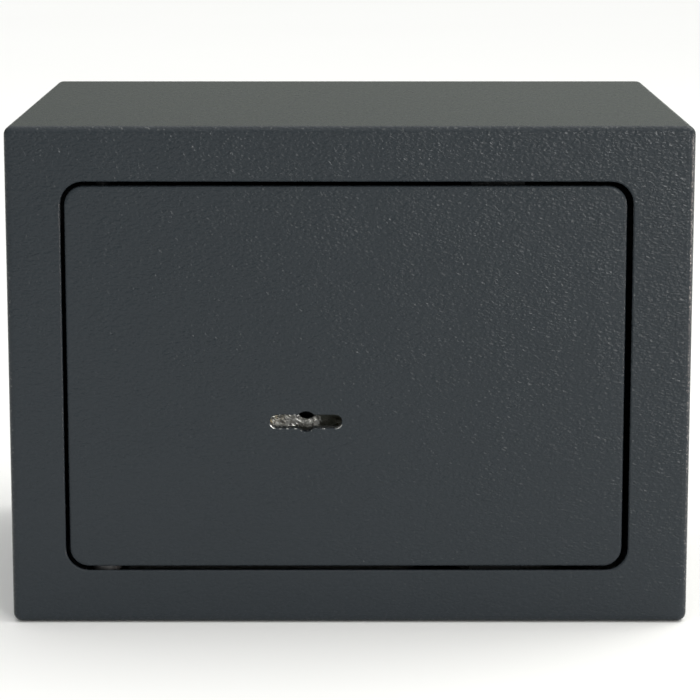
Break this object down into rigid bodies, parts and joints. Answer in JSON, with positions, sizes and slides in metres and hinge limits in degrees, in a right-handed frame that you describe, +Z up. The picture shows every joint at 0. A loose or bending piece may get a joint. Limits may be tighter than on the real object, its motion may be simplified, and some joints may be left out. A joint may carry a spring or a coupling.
{
  "type": "key safe",
  "caption": "Small steel safe for documents and cash, with a flush door on a concealed pivot hinge, locked by round sliding bolts that a double-bitted lever lock throws.",
  "frame": {"origin": "middle of the safe's footprint, on the plane that it stands on", "axes": "+X to the right of a person who faces the door, +Y from the door towards the back, +Z up"},
  "size_m": [0.23, 0.17, 0.17],
  "materials": {
    "paint": "dark grey fine-textured powder coat on steel",
    "zinc": "bright zinc-plated steel",
    "steel": "bright drawn and turned steel",
    "nickel": "nickel-plated turned steel",
    "brass": "stamped sheet brass",
    "spring": "blued spring steel",
    "nylon": "black nylon",
    "felt": "charcoal needled felt"
  },
  "bodies": {
    "body": {"body_shell": "paint", "rear_panel": "paint", "hinge_bracket_upper": "paint", "hinge_bracket_lower": "paint", "hinge_pin_upper": "paint", "hinge_pin_lower": "paint", "hinge_washer": "nylon", "door_stop_upper": "paint", "door_stop_lower": "paint", "strike_channel": "paint", "floor_mat": "felt"},
    "door": {"bolt_guide": "zinc", "case_nut_1": "zinc", "case_nut_2": "zinc", "case_nut_3": "zinc", "case_nut_4": "zinc", "cover_screw_1": "steel", "cover_screw_2": "steel", "cover_screw_3": "steel", "door_plate": "paint", "guide_nut_lower": "zinc", "guide_nut_upper": "zinc", "hinge_lug_lower": "paint", "hinge_lug_upper": "paint", "lever_post_lower": "steel", "lever_post_upper": "steel", "lock_case": "zinc", "lock_cover": "zinc"},
    "boltwork": {"lock_bolt": "steel", "bolt_stump": "steel", "bolt_bar": "zinc", "bar_screw_1": "steel", "bar_screw_2": "steel", "locking_bolt_upper": "nickel", "locking_bolt_lower": "nickel"},
    "lever_1_body": {"lever_1": "brass", "lever_spring_1": "spring"},
    "lever_2_body": {"lever_2": "brass", "lever_spring_2": "spring"},
    "lever_3_body": {"lever_3": "brass", "lever_spring_3": "spring"},
    "lever_4_body": {"lever_4": "brass", "lever_spring_4": "spring"},
    "lever_5_body": {"lever_5": "brass", "lever_spring_5": "spring"},
    "lever_6_body": {"lever_6": "brass", "lever_spring_6": "spring"},
    "lever_7_body": {"lever_7": "brass", "lever_spring_7": "spring"}
  },
  "joints": [
    {"name": "door_hinge", "type": "hinge", "parent": "body", "child": "door", "pos_m": [-0.083, -0.078, 0.085], "axis": [0, 0, -1], "range_deg": [0, 110]},
    {"name": "bolt_throw", "type": "slide", "parent": "door", "child": "boltwork", "axis": [1, 0, 0], "range_m": [0, 0.012]},
    {"name": "lever_1_drop", "type": "slide", "parent": "door", "child": "lever_1_body", "axis": [0, 0, -1], "range_m": [0, 0.001]},
    {"name": "lever_2_drop", "type": "slide", "parent": "door", "child": "lever_2_body", "axis": [0, 0, 1], "range_m": [0, 0.0016]},
    {"name": "lever_3_drop", "type": "slide", "parent": "door", "child": "lever_3_body", "axis": [0, 0, -1], "range_m": [0, 0.0013]},
    {"name": "lever_4_drop", "type": "slide", "parent": "door", "child": "lever_4_body", "axis": [0, 0, 1], "range_m": [0, 0.0018]},
    {"name": "lever_5_drop", "type": "slide", "parent": "door", "child": "lever_5_body", "axis": [0, 0, -1], "range_m": [0, 0.0012]},
    {"name": "lever_6_drop", "type": "slide", "parent": "door", "child": "lever_6_body", "axis": [0, 0, 1], "range_m": [0, 0.0017]},
    {"name": "lever_7_drop", "type": "slide", "parent": "door", "child": "lever_7_body", "axis": [0, 0, -1], "range_m": [0, 0.0014]}
  ],
  "couplings": [
    {"joint": "lever_1_drop", "follows": "bolt_throw", "ratio": 0.083333},
    {"joint": "lever_2_drop", "follows": "bolt_throw", "ratio": 0.13333},
    {"joint": "lever_3_drop", "follows": "bolt_throw", "ratio": 0.10833},
    {"joint": "lever_4_drop", "follows": "bolt_throw", "ratio": 0.15},
    {"joint": "lever_5_drop", "follows": "bolt_throw", "ratio": 0.1},
    {"joint": "lever_6_drop", "follows": "bolt_throw", "ratio": 0.14167},
    {"joint": "lever_7_drop", "follows": "bolt_throw", "ratio": 0.11667}
  ]
}
